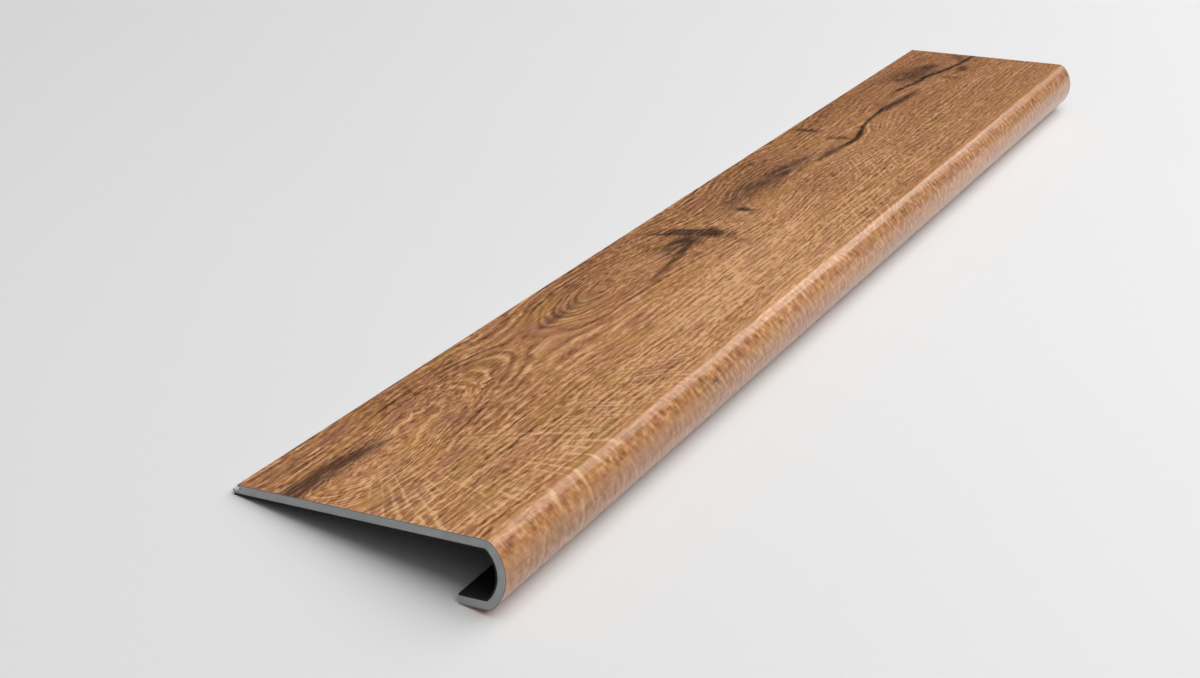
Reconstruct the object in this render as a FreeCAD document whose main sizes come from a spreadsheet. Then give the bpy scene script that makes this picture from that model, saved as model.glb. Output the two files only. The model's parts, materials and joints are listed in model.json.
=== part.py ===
"""Stair tread of rigid vinyl board, bent at the front into a rounded nose that hooks over a step.

Three bonded layers make it: a wood-look wear layer outside, a rigid core, and a foam underlay inside.
The section is drawn level in the YZ plane: +Y runs to the back, +Z is up, and its zero is the top of
the joint edge at the back. Every layer is then turned and lifted to the way the tread lies on a floor,
on the end of its nose lip and on the back edge of its underside.
"""

import FreeCAD, Part
import math
import os
import Sketcher
from FreeCAD import Vector

doc = FreeCAD.newDocument("StairTread")

# Driving dimensions, in millimetres
SIZES = (
    ("tread_length", 1220),
    ("tread_depth", 170.5),
    ("nose_height", 42),
    ("nose_return", 29.4),
    ("crown_bulge", 5.3),
    ("inner_bend_radius", 1.6),
    ("wear_thick", 0.5),
    ("core_thick", 4.7),
    ("underlay_thick", 1.2),
    ("upper_lip_backing", 0.6),
    ("lower_lip_thick", 1.6),
    ("groove_depth", 2.2),
    ("groove_ceiling_drop", 0.5),
    ("tongue_reach", 3.4),
    ("tongue_undercut", 1.0),
    ("hook_rise", 0.9),
    ("hook_width", 1.2),
    ("hook_lean", 0.5),
    ("hook_round", 0.3),
    ("groove_round", 0.4),
)

sheet = doc.addObject("Spreadsheet::Sheet", "Sizes")
for row, (alias, size) in enumerate(SIZES, start=1):
    sheet.set(f"A{row}", alias)
    sheet.set(f"B{row}", str(size))
    sheet.setAlias(f"B{row}", alias)
doc.recompute()

# Depths below the outer face of the board
OUTER_FACE = "0"
CORE_TOP = "Sizes.wear_thick"
CORE_BOTTOM = "(Sizes.wear_thick + Sizes.core_thick)"
UNDERSIDE = "(Sizes.wear_thick + Sizes.core_thick + Sizes.underlay_thick)"

# Nose: two bends of one radius, and between them a crown that bows out by its bulge
BEND_RADIUS = f"(Sizes.inner_bend_radius + {UNDERSIDE})"
HALF_CHORD = f"(Sizes.nose_height / 2 - {BEND_RADIUS})"
CROWN_RADIUS = f"({BEND_RADIUS} + Sizes.crown_bulge / 2 + {HALF_CHORD}^2 / (2 * Sizes.crown_bulge))"
CROWN_TO_BACK = f"(Sizes.tread_depth - {CROWN_RADIUS})"
LIP_END = "(Sizes.tread_depth - Sizes.nose_return)"

# Joint edge: a groove under the upper lip, and a lower lip that ends in an upturned hook
GROOVE_CEILING = "(Sizes.wear_thick + Sizes.upper_lip_backing)"
GROOVE_CEILING_BACK = f"({GROOVE_CEILING} + Sizes.groove_ceiling_drop)"
GROOVE_FLOOR = f"({CORE_BOTTOM} - Sizes.lower_lip_thick)"
HOOK_TOP = f"({GROOVE_FLOOR} - Sizes.hook_rise)"
HOOK_INNER_EDGE = "(Sizes.tongue_reach - Sizes.hook_width)"
HOOK_INNER_FOOT = f"({HOOK_INNER_EDGE} - Sizes.hook_lean)"
HEEL = "(Sizes.tongue_reach - Sizes.tongue_undercut)"
HOOK_SLOPE = "(Sizes.tongue_undercut / (Sizes.hook_rise + Sizes.lower_lip_thick))"
HOOK_ROUND_INSET = f"(Sizes.hook_round * ({HOOK_SLOPE} + sqrt(1 + {HOOK_SLOPE}^2)))"

# Rest on a floor: the lip end and the heel of the underside touch it, with the tread centred over the zero
REST_TILT = f"atan2(Sizes.nose_height - {UNDERSIDE}; {LIP_END} + {HEEL})"
REST_LIFT = f"({HEEL} * sin({REST_TILT}) + {UNDERSIDE} * cos({REST_TILT}))"
CROWN_LEVEL = "(Sizes.nose_height / 2)"
NOSE_FRONT = f"({CROWN_TO_BACK} * cos({REST_TILT}) + {CROWN_LEVEL} * sin({REST_TILT}) + {CROWN_RADIUS})"
HOOK_ROUND_REACH = f"((Sizes.tongue_reach - {HOOK_ROUND_INSET}) * cos({REST_TILT}))"
HOOK_ROUND_DROP = f"(({HOOK_TOP} + Sizes.hook_round) * sin({REST_TILT}))"
HOOK_BACK = f"({HOOK_ROUND_REACH} - {HOOK_ROUND_DROP} + Sizes.hook_round)"
REST_SHIFT = f"(({NOSE_FRONT} - {HOOK_BACK}) / 2)"

# Names for the sketcher's numbered points and axes
START, END, CENTRE = range(1, 4)
UPRIGHT_AXIS, LEVEL_AXIS = range(-2, 0)
ZERO = (LEVEL_AXIS, START)

# Tolerance for finding an edge by its place, in millimetres
SAME_PLACE = 0.001

# Order of the five pieces in each run of a layer's outline, outer run first, then the first inner one
TOP, TOP_BEND, CROWN, LOW_BEND, LIP, INNER = range(6)


def number(expression):
    """Value of an expression on the sheet, in millimetres or degrees."""
    return float(sheet.evalExpression(expression))


def section_sketch(body, name):
    """New sketch on the body's own YZ plane."""
    sketch = body.newObject("Sketcher::SketchObject", name)
    plane = next(item for item in body.Origin.OriginFeatures if item.Role == "YZ_Plane")
    sketch.AttachmentSupport = [(plane, "")]
    sketch.MapMode = "FlatFace"
    return sketch


def relate(sketch, kind, *points):
    """Add a constraint that has no size."""
    sketch.addConstraint(Sketcher.Constraint(kind, *points))


def dimension(sketch, name, kind, points, expression):
    """Add a named constraint whose size follows an expression on the sheet."""
    index = sketch.addConstraint(Sketcher.Constraint(kind, *points, number(expression)))
    sketch.renameConstraint(index, name)
    sketch.setExpression(f"Constraints.{name}", expression)


def draw_run(sketch, cover, back):
    """Draw one run round the nose, from its back end along the top, down the nose and along the lip."""
    bend_radius = number(BEND_RADIUS)
    crown_radius = number(CROWN_RADIUS)
    half_chord = number(HALF_CHORD)
    quarter, half, whole = math.pi / 2, math.pi, 2 * math.pi
    lean = half - math.asin(half_chord / (crown_radius - bend_radius))
    to_bend = (crown_radius - bend_radius) * math.cos(lean)
    crown = Vector(-number(CROWN_TO_BACK), -number(CROWN_LEVEL))
    top_bend = crown + Vector(to_bend, half_chord)
    low_bend = crown + Vector(to_bend, -half_chord)
    top = -cover
    bottom = cover - number("Sizes.nose_height")
    normal = Vector(0, 0, 1)
    sketch.addGeometry([
        Part.LineSegment(Vector(back, top), Vector(top_bend.x, top)),
        Part.ArcOfCircle(Part.Circle(top_bend, normal, bend_radius - cover), quarter, lean),
        Part.ArcOfCircle(Part.Circle(crown, normal, crown_radius - cover), lean, whole - lean),
        Part.ArcOfCircle(Part.Circle(low_bend, normal, bend_radius - cover), whole - lean, whole - quarter),
        Part.LineSegment(Vector(low_bend.x, bottom), Vector(-number(LIP_END), bottom)),
    ])


def tie_runs(sketch, outer_cover, inner_cover):
    """Make both runs smooth and concentric, and set them at their depths below the outer face."""
    for first in (0, INNER):
        relate(sketch, "Tangent", first + TOP, END, first + TOP_BEND, START)
        relate(sketch, "Tangent", first + TOP_BEND, END, first + CROWN, START)
        relate(sketch, "Tangent", first + CROWN, END, first + LOW_BEND, START)
        relate(sketch, "Tangent", first + LOW_BEND, END, first + LIP, START)
        relate(sketch, "Horizontal", first + TOP)
        relate(sketch, "Horizontal", first + LIP)
    for arc in (TOP_BEND, CROWN, LOW_BEND):
        relate(sketch, "Coincident", arc, CENTRE, INNER + arc, CENTRE)
    relate(sketch, "Equal", TOP_BEND, LOW_BEND)
    if outer_cover == OUTER_FACE:
        relate(sketch, "PointOnObject", TOP, START, LEVEL_AXIS)
    else:
        dimension(sketch, "outer_cover", "DistanceY", (TOP, START, *ZERO), outer_cover)
    dimension(sketch, "lip_level", "DistanceY", (LIP, END, *ZERO), f"Sizes.nose_height - {outer_cover}")
    dimension(sketch, "crown_level", "DistanceY", (CROWN, CENTRE, *ZERO), CROWN_LEVEL)
    dimension(sketch, "crown_to_back", "DistanceX", (CROWN, CENTRE, *ZERO), CROWN_TO_BACK)
    dimension(sketch, "crown_radius", "Radius", (CROWN,), f"{CROWN_RADIUS} - {outer_cover}")
    dimension(sketch, "outer_bend", "Radius", (TOP_BEND,), f"{BEND_RADIUS} - {outer_cover}")
    dimension(sketch, "inner_bend", "Radius", (INNER + TOP_BEND,), f"{BEND_RADIUS} - {inner_cover}")


def close_lip(sketch, outer_cover, inner_cover):
    """Close the free end of the lip with an upright saw cut."""
    lip_end = -number(LIP_END)
    bottom = -number("Sizes.nose_height")
    cut = sketch.addGeometry(Part.LineSegment(
        Vector(lip_end, bottom + number(outer_cover)), Vector(lip_end, bottom + number(inner_cover))))
    relate(sketch, "Coincident", LIP, END, cut, START)
    relate(sketch, "Coincident", INNER + LIP, END, cut, END)
    relate(sketch, "Vertical", cut)
    dimension(sketch, "lip_end", "DistanceX", (LIP, END, *ZERO), LIP_END)


def close_back(sketch, corners):
    """Close the back end through its corners, from the outer run down to the inner run."""
    lines = []
    for upper, lower in zip(corners, corners[1:]):
        lines.append(sketch.addGeometry(Part.LineSegment(upper, lower)))
    relate(sketch, "Coincident", TOP, START, lines[0], START)
    for upper, lower in zip(lines, lines[1:]):
        relate(sketch, "Coincident", upper, END, lower, START)
    relate(sketch, "Coincident", INNER + TOP, START, lines[-1], END)
    return lines


def layer_body(label, outer_cover, inner_cover, back):
    """New body for one bent layer, with its two runs drawn from the given back end and its lip closed."""
    body = doc.addObject("PartDesign::Body", label)
    body.Label = label
    sketch = section_sketch(body, f"{label}_section")
    draw_run(sketch, number(outer_cover), back)
    draw_run(sketch, number(inner_cover), back)
    tie_runs(sketch, outer_cover, inner_cover)
    close_lip(sketch, outer_cover, inner_cover)
    return body, sketch


def pad_along_length(body, sketch):
    """Extrude a section both ways from the middle of the tread."""
    pad = body.newObject("PartDesign::Pad", f"{body.Name}_pad")
    pad.Profile = sketch
    pad.SideType = "Symmetric"
    pad.setExpression("Length", "Sizes.tread_length")
    doc.recompute()


def lay_on_floor(body):
    """Turn the body back on its nose lip and lift it to the floor, by the same values for every layer."""
    body.Placement = FreeCAD.Placement(Vector(), FreeCAD.Rotation(Vector(1, 0, 0), -number(REST_TILT)))
    body.setExpression("Placement.Rotation.Angle", f"-{REST_TILT}")
    body.setExpression("Placement.Base.y", REST_SHIFT)
    body.setExpression("Placement.Base.z", REST_LIFT)


def make_wear_layer():
    """Thin wood-look face, from the joint edge over the top, round the nose and under the lip."""
    body, sketch = layer_body("wear_layer", OUTER_FACE, CORE_TOP, 0)
    edge, = close_back(sketch, [Vector(0, 0), Vector(0, -number(CORE_TOP))])
    relate(sketch, "Vertical", edge)
    relate(sketch, "PointOnObject", edge, START, UPRIGHT_AXIS)
    pad_along_length(body, sketch)
    return body


def round_long_edges(body, name, corners, radius):
    """Round the edges that run the length of the tread through the given corners of the section."""
    base = body.Tip
    found = []
    for index, edge in enumerate(base.Shape.Edges, start=1):
        middle = Vector(edge.CenterOfMass.y, edge.CenterOfMass.z)
        whole_length = abs(edge.Length - number("Sizes.tread_length")) < SAME_PLACE
        if whole_length and any(middle.distanceToPoint(corner) < SAME_PLACE for corner in corners):
            found.append(f"Edge{index}")
    if len(found) != len(corners):
        raise RuntimeError(f"{name} found {len(found)} of {len(corners)} edges")
    fillet = body.newObject("PartDesign::Fillet", name)
    fillet.Base = (base, found)
    fillet.setExpression("Radius", radius)
    doc.recompute()


def draw_joint_cut(sketch, corners):
    """Draw the space that is milled out of the back edge, from the upper lip round to the board's face."""
    sides = []
    for here, there in zip(corners, corners[1:] + corners[:1]):
        sides.append(sketch.addGeometry(Part.LineSegment(here, there)))
    for side, following in zip(sides, sides[1:] + sides[:1]):
        relate(sketch, "Coincident", side, END, following, START)
    lip_edge, ceiling, groove_wall, floor, hook_inner, hook_top, outer_edge, surface = sides
    relate(sketch, "Coincident", lip_edge, START, *ZERO)
    for upright in (lip_edge, groove_wall, outer_edge):
        relate(sketch, "Vertical", upright)
    for level in (floor, hook_top, surface):
        relate(sketch, "Horizontal", level)
    dimension(sketch, "ceiling_front", "DistanceY", (lip_edge, END, *ZERO), GROOVE_CEILING)
    dimension(sketch, "ceiling_back", "DistanceY", (ceiling, END, *ZERO), GROOVE_CEILING_BACK)
    dimension(sketch, "groove_depth", "DistanceX", (ceiling, END, *ZERO), "Sizes.groove_depth")
    dimension(sketch, "groove_floor", "DistanceY", (floor, START, *ZERO), GROOVE_FLOOR)
    dimension(sketch, "hook_inner_foot", "DistanceX", (*ZERO, floor, END), HOOK_INNER_FOOT)
    dimension(sketch, "hook_inner_edge", "DistanceX", (*ZERO, hook_inner, END), HOOK_INNER_EDGE)
    dimension(sketch, "hook_top", "DistanceY", (hook_inner, END, *ZERO), HOOK_TOP)
    dimension(sketch, "hook_reach", "DistanceX", (*ZERO, hook_top, END), "Sizes.tongue_reach")


def mill_joint(body):
    """Mill the groove under the upper lip, clear the space over the hook, and round the milled corners."""
    reach = number("Sizes.tongue_reach")
    groove_back = -number("Sizes.groove_depth")
    lip_corners = [Vector(0, 0), Vector(0, -number(GROOVE_CEILING))]
    groove_corners = [
        Vector(groove_back, -number(GROOVE_CEILING_BACK)),
        Vector(groove_back, -number(GROOVE_FLOOR)),
        Vector(number(HOOK_INNER_FOOT), -number(GROOVE_FLOOR)),
    ]
    hook_corners = [Vector(number(HOOK_INNER_EDGE), -number(HOOK_TOP)), Vector(reach, -number(HOOK_TOP))]
    sketch = section_sketch(body, "joint_section")
    draw_joint_cut(sketch, lip_corners + groove_corners + hook_corners + [Vector(reach, 0)])
    blank_volume = body.Shape.Volume
    pocket = body.newObject("PartDesign::Pocket", "joint_cut")
    pocket.Profile = sketch
    pocket.SideType = "Symmetric"
    pocket.setExpression("Length", "Sizes.tread_length")
    doc.recompute()
    if body.Shape.Volume >= blank_volume:
        raise RuntimeError("the joint cut removed nothing")
    round_long_edges(body, "groove_fillet", groove_corners, "Sizes.groove_round")
    round_long_edges(body, "hook_fillet", hook_corners, "Sizes.hook_round")


def make_core():
    """Rigid board that carries the shape, with the joint milled along its back edge."""
    reach = number("Sizes.tongue_reach")
    body, sketch = layer_body("rigid_core", CORE_TOP, CORE_BOTTOM, reach)
    blank_edge, hook_back = close_back(sketch, [
        Vector(reach, -number(CORE_TOP)),
        Vector(reach, -number(HOOK_TOP)),
        Vector(number(HEEL), -number(CORE_BOTTOM)),
    ])
    relate(sketch, "Vertical", blank_edge)
    dimension(sketch, "tongue_reach", "DistanceX", (*ZERO, blank_edge, END), "Sizes.tongue_reach")
    dimension(sketch, "hook_top", "DistanceY", (blank_edge, END, *ZERO), HOOK_TOP)
    dimension(sketch, "heel", "DistanceX", (*ZERO, hook_back, END), HEEL)
    pad_along_length(body, sketch)
    mill_joint(body)
    return body


def make_underlay():
    """Foam lining bonded all over the inside, which rests on the step."""
    heel = number(HEEL)
    body, sketch = layer_body("foam_underlay", CORE_BOTTOM, UNDERSIDE, heel)
    edge, = close_back(sketch, [Vector(heel, -number(CORE_BOTTOM)), Vector(heel, -number(UNDERSIDE))])
    relate(sketch, "Vertical", edge)
    dimension(sketch, "heel", "DistanceX", (*ZERO, edge, START), HEEL)
    pad_along_length(body, sketch)
    return body


layers = [make_wear_layer(), make_core(), make_underlay()]
for layer in layers:
    lay_on_floor(layer)
doc.recompute()

for item in doc.Objects:
    if "Invalid" in item.State or "Error" in item.State:
        raise RuntimeError(f"{item.Label} failed: {item.State}")
for item in doc.findObjects("Sketcher::SketchObject"):
    if not item.FullyConstrained:
        raise RuntimeError(f"{item.Label} is not fully constrained")
for layer in layers:
    if layer.Shape.isNull() or not layer.Shape.isValid() or len(layer.Shape.Solids) != 1:
        raise RuntimeError(f"{layer.Label} is not one valid solid")

os.makedirs("parts", exist_ok=True)
for layer in layers:
    layer.Shape.exportStep(f"parts/{layer.Label}.step")
    box = layer.Shape.BoundBox
    print(f"{layer.Label}: volume {layer.Shape.Volume:.0f} mm3, "
          f"y {box.YMin:.2f} to {box.YMax:.2f}, z {box.ZMin:.2f} to {box.ZMax:.2f}")
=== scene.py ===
"""Stair tread of rigid vinyl board with a rustic oak print, dressed and lit as in the photograph.

Each layer is made flat, as the board is before it is bent. A node tree then bends it round the nose and
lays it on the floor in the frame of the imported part.
"""

import bpy
import json
import math
from mathutils import Matrix, Vector


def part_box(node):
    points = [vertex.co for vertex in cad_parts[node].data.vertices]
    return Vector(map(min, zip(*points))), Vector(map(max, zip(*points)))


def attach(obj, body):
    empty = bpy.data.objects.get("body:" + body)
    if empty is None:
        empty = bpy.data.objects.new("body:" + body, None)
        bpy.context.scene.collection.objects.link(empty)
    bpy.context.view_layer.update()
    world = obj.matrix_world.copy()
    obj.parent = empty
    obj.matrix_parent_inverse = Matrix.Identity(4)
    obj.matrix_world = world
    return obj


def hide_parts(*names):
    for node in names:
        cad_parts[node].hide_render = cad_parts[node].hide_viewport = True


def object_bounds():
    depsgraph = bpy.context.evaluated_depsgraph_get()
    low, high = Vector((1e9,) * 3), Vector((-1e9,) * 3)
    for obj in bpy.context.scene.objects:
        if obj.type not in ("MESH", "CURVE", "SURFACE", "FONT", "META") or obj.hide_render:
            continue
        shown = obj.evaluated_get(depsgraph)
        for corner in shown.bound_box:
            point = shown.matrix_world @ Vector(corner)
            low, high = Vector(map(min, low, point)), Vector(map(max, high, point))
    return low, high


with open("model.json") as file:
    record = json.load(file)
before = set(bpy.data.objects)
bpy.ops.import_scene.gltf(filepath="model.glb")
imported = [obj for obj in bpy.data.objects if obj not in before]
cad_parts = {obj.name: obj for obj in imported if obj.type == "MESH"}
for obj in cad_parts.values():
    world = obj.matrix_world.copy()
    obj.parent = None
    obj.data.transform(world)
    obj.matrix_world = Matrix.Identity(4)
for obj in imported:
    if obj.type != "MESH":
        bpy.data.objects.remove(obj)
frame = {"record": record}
cad_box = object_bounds()

# Section of the board in millimetres, with the same names as in the part's source
TREAD_DEPTH = 170.5
NOSE_HEIGHT = 42
NOSE_RETURN = 29.4
CROWN_BULGE = 5.3
INNER_BEND_RADIUS = 1.6
WEAR_THICK = 0.5
CORE_THICK = 4.7
UNDERLAY_THICK = 1.2
UPPER_LIP_BACKING = 0.6
LOWER_LIP_THICK = 1.6
GROOVE_DEPTH = 2.2
GROOVE_CEILING_DROP = 0.5
TONGUE_REACH = 3.4
TONGUE_UNDERCUT = 1.0
HOOK_RISE = 0.9
HOOK_WIDTH = 1.2
HOOK_LEAN = 0.5
HOOK_ROUND = 0.3
GROOVE_ROUND = 0.4

MM = 0.001
CORE_BOTTOM = WEAR_THICK + CORE_THICK
UNDERSIDE = CORE_BOTTOM + UNDERLAY_THICK
BEND_RADIUS = INNER_BEND_RADIUS + UNDERSIDE
HALF_CHORD = NOSE_HEIGHT / 2 - BEND_RADIUS
CROWN_RADIUS = BEND_RADIUS + CROWN_BULGE / 2 + HALF_CHORD ** 2 / (2 * CROWN_BULGE)
BEND_TURN = math.acos(HALF_CHORD / (CROWN_RADIUS - BEND_RADIUS))
CROWN_TURN = math.pi - 2 * BEND_TURN

# Distances across the outer face from the joint edge, where its flats and arcs end
TOP_END = TREAD_DEPTH - CROWN_RADIUS + (CROWN_RADIUS - BEND_RADIUS) * math.sin(BEND_TURN)
BEND_END = TOP_END + BEND_RADIUS * BEND_TURN
CROWN_END = BEND_END + CROWN_RADIUS * CROWN_TURN
LOW_BEND_END = CROWN_END + BEND_RADIUS * BEND_TURN
LIP_END = LOW_BEND_END + TOP_END - (TREAD_DEPTH - NOSE_RETURN)
HEEL = TONGUE_REACH - TONGUE_UNDERCUT

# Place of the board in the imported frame, in metres: its tilt on the floor and the top of its joint edge
underside = next(mount for mount in frame["record"]["mounts"] if mount["name"] == "underside")
board_up = -Vector(underside["axis"])
tilt = math.atan2(board_up.y, board_up.z)
joint_edge_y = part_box("wear_layer")[1].y
below_edge = Vector((0, joint_edge_y, 0)) - Vector(underside["pos_m"])
joint_edge_z = (UNDERSIDE * MM - below_edge.dot(board_up)) / board_up.z
near_end = cad_box[0][0]
far_end = cad_box[1][0]
tread_length = far_end - near_end

# Node kinds that the trees use most
MATH = "ShaderNodeMath"
VECTOR = "ShaderNodeVectorMath"
RANGE = "ShaderNodeMapRange"
NOISE = "ShaderNodeTexNoise"
MIX = "ShaderNodeMix"
SPLIT = "ShaderNodeSeparateXYZ"
JOIN = "ShaderNodeCombineXYZ"
TURN = "ShaderNodeVectorRotate"

# Inputs of a Map Range node that turn a rise into a fall
FALLING = {"To Min": 1, "To Max": 0}

# Sockets of a Mix node that blends colours
MIX_FACTOR = 0
MIX_FIRST = 6
MIX_SECOND = 7
MIX_RESULT = 2


def node(tree, kind, inputs=None, output=0, **settings):
    """Add a node with its settings, set or link its inputs, and return one of its outputs."""
    added = tree.nodes.new(kind)
    for name, value in settings.items():
        setattr(added, name, value)
    for name, value in (inputs or {}).items():
        if isinstance(value, bpy.types.NodeSocket):
            tree.links.new(value, added.inputs[name])
        else:
            added.inputs[name].default_value = value
    return added.outputs[output] if added.outputs else None


def linear(hex_colour):
    """Linear colour, with alpha, of an sRGB hex value."""
    channels = []
    for start in (1, 3, 5):
        value = int(hex_colour[start:start + 2], 16) / 255
        channels.append(value / 12.92 if value <= 0.04045 else ((value + 0.055) / 1.055) ** 2.4)
    return (*channels, 1)


# Oak print: places in millimetres along the tread from its near end, and across it from the joint edge

# Heart of the oak below the face: where its line runs across, and how deep it lies, along the tread.
# The growth rings close round it where it comes near the face, in eyes, arches and flames.
HEART_LINE = (
    (0, 46), (62, 52), (120, 44), (190, 40), (300, 38), (400, 38), (470, 44), (540, 52), (606, 58), (700, 48),
    (800, 58), (860, 60), (930, 52), (1030, 44), (1110, 50), (1220, 60),
)
HEART_DEPTH = (
    (0, 16), (25, 9), (62, 3), (95, 6), (112, 8), (138, 9), (165, 12), (245, 24), (270, 27), (295, 25),
    (345, 15), (400, 9), (450, 8), (500, 10), (540, 13), (575, 13), (606, 12), (640, 12), (760, 14),
    (850, 13), (900, 16), (1000, 20), (1080, 16), (1110, 13), (1140, 13), (1220, 14),
)


def streaks(tree, place, length, width, seed, detail=2, roughness=0.5):
    """Soft streaks along the grain, of a length and width in millimetres."""
    stretched = node(tree, VECTOR, {0: place, 1: (1 / length, 1 / width, 0), 2: (0, 0, seed)},
                     operation="MULTIPLY_ADD")
    return node(tree, NOISE, {"Vector": stretched, "Scale": 1, "Detail": detail, "Roughness": roughness})


def even_lines(tree, place, pitch, length, seed, wander=1):
    """Wave from minus one to one at an even pitch across the place, wandering by some pitches on its way."""
    across = node(tree, SPLIT, {0: place}, output="Y")
    drift = streaks(tree, place, length, 2 * pitch, seed)
    moved = node(tree, MATH, {0: drift, 1: 2 * wander * pitch, 2: across}, operation="MULTIPLY_ADD")
    phase = node(tree, MATH, {0: moved, 1: math.tau / pitch}, operation="MULTIPLY")
    return node(tree, MATH, {0: phase}, operation="SINE")


def spot(tree, place, centre, radii, slope=0):
    """One at the centre of a sloping ellipse, easing to nothing at its rim."""
    moved = node(tree, VECTOR, {0: place, 1: (*centre, 0)}, operation="SUBTRACT")
    turned = node(tree, TURN, {"Vector": moved, "Angle": -math.radians(slope)}, rotation_type="Z_AXIS")
    scaled = node(tree, VECTOR, {0: turned, 1: (*radii, 1)}, operation="DIVIDE")
    radius = node(tree, VECTOR, {0: scaled}, output="Value", operation="LENGTH")
    return node(tree, RANGE, {"Value": radius, **FALLING}, interpolation_type="SMOOTHERSTEP")


def strongest(tree, parts):
    """Greatest of some values at each place."""
    most = parts[0]
    for part in parts[1:]:
        most = node(tree, MATH, {0: most, 1: part}, operation="MAXIMUM")
    return most


def print_place(tree, flat):
    """Place on the print in millimetres, from a place on the flat board in metres."""
    return node(tree, VECTOR, {0: flat, 1: (1 / MM, -1 / MM, 0), 2: (-near_end / MM, 0, 0)},
                operation="MULTIPLY_ADD")


# Waves that run along the grain lines: length and width in millimetres, seed, swing across the grain
GRAIN_WAVES = (
    (340, 90, 3, 12),
    (90, 34, 5, 4.5),
    (24, 9, 7, 2.2),
    (10, 6, 8, 1.1),
)

# Mean place of the heart line across the tread, and where its rings go over into straight grain beside it
HEART_MIDDLE = 45
STRAIGHTENING = {"From Min": 15, "From Max": 55}

# Ripple of the crinkled rings: length and width in millimetres, seed
RING_RIPPLE = (9, 6, 9)

# Stretches of the heart whose rings are crinkled: centre, half length and half width, swing
CRINKLES = (
    ((165, 40), (80, 36), 19),
    ((60, 48), (70, 26), 13),
    ((440, 40), (70, 28), 7),
)


def course(tree, place, points):
    """Value in millimetres that follows a smooth line through points along the tread."""
    start = points[0][0]
    end = points[-1][0]
    most = max(value for along, value in points)
    along = node(tree, SPLIT, {0: place}, output="X")
    share = node(tree, RANGE, {"Value": along, "From Min": start, "From Max": end})
    path = tree.nodes.new("ShaderNodeFloatCurve")
    curve = path.mapping.curves[0]
    while len(curve.points) < len(points):
        curve.points.new(0.5, 0.5)
    for point, (along_point, value) in zip(curve.points, points):
        point.location = ((along_point - start) / (end - start), value / most)
    path.mapping.update()
    tree.links.new(share, path.inputs["Value"])
    return node(tree, MATH, {0: path.outputs[0], 1: most}, operation="MULTIPLY")


def along_fibres(tree, place):
    """Place that follows the slow waves of the fibres along the board."""
    across = node(tree, SPLIT, {0: place}, output="Y")
    for length, width, seed, swing in GRAIN_WAVES:
        wave = streaks(tree, place, length, width, seed, detail=1)
        level = node(tree, MATH, {0: wave, 1: 0.5}, operation="SUBTRACT")
        across = node(tree, MATH, {0: level, 1: swing, 2: across}, operation="MULTIPLY_ADD")
    along = node(tree, SPLIT, {0: place}, output="X")
    return node(tree, JOIN, {"X": along, "Y": across})


def along_rings(tree, place, fibres):
    """Place with its distance from the heart of the oak, which stays the same along each growth ring."""
    across = node(tree, SPLIT, {0: fibres}, output="Y")
    ripple = streaks(tree, place, *RING_RIPPLE)
    level = node(tree, MATH, {0: ripple, 1: 0.5}, operation="SUBTRACT")
    for centre, radii, swing in CRINKLES:
        strength = node(tree, MATH, {0: spot(tree, place, centre, radii), 1: swing}, operation="MULTIPLY")
        across = node(tree, MATH, {0: level, 1: strength, 2: across}, operation="MULTIPLY_ADD")
    aside = node(tree, MATH, {0: across, 1: course(tree, place, HEART_LINE)}, operation="SUBTRACT")
    section = node(tree, JOIN, {"X": aside, "Y": course(tree, place, HEART_DEPTH)})
    ring = node(tree, VECTOR, {0: section}, output="Value", operation="LENGTH")
    straight = node(tree, MATH, {0: across, 1: HEART_MIDDLE}, operation="SUBTRACT")
    outer = node(tree, RANGE, {"Value": aside, **STRAIGHTENING})
    ring = node(tree, MIX, {"Factor": outer, "A": ring, "B": straight}, data_type="FLOAT")
    along = node(tree, SPLIT, {0: place}, output="X")
    return node(tree, JOIN, {"X": along, "Y": ring})


# Tremble of a crack and change of its breadth: length and width in millimetres
CRACK_TREMBLE = (16, 6)
CRACK_BREADTH = (40, 200)

# Swing of the tremble in half widths of the crack, and length over which its ends taper
CRACK_SWING = 1.2
CRACK_TAPER = 30


def crack(tree, place, points, half_width):
    """One on a crack that runs through the points, easing to nothing at its sides and ends."""
    start = points[0][0]
    end = points[-1][0]
    along = node(tree, SPLIT, {0: place}, output="X")
    across = node(tree, SPLIT, {0: place}, output="Y")
    centre = course(tree, place, points)
    tremble = streaks(tree, place, *CRACK_TREMBLE, start)
    swing = node(tree, MATH, {0: tremble, 1: 0.5}, operation="SUBTRACT")
    shift = node(tree, MATH, {0: swing, 1: CRACK_SWING * half_width, 2: centre}, operation="MULTIPLY_ADD")
    apart = node(tree, MATH, {0: across, 1: shift}, operation="SUBTRACT")
    away = node(tree, MATH, {0: apart}, operation="ABSOLUTE")
    breadth = streaks(tree, place, *CRACK_BREADTH, end)
    reach = node(tree, MATH, {0: breadth, 1: 2 * half_width}, operation="MULTIPLY")
    inside = node(tree, RANGE, {"Value": away, "From Max": reach, **FALLING}, interpolation_type="SMOOTHSTEP")
    middle = (start + end) / 2
    off_middle = node(tree, MATH, {0: along, 1: middle}, operation="SUBTRACT")
    from_middle = node(tree, MATH, {0: off_middle}, operation="ABSOLUTE")
    half_length = (end - start) / 2
    fade = node(tree, RANGE, {"Value": from_middle, "From Min": half_length - CRACK_TAPER,
                              "From Max": half_length, **FALLING})
    return node(tree, MATH, {0: inside, 1: fade}, operation="MULTIPLY")


# Cracks: the points they run through, and half their width
CRACKS = (
    (((804, 63), (830, 65), (852, 66), (872, 63), (900, 57), (940, 54), (1000, 53)), 3.4),
    (((1014, 41), (1050, 44), (1080, 49), (1112, 51), (1135, 57), (1175, 63), (1240, 67)), 4.8),
    (((1178, 99), (1195, 101), (1222, 101)), 1.8),
)


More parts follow.
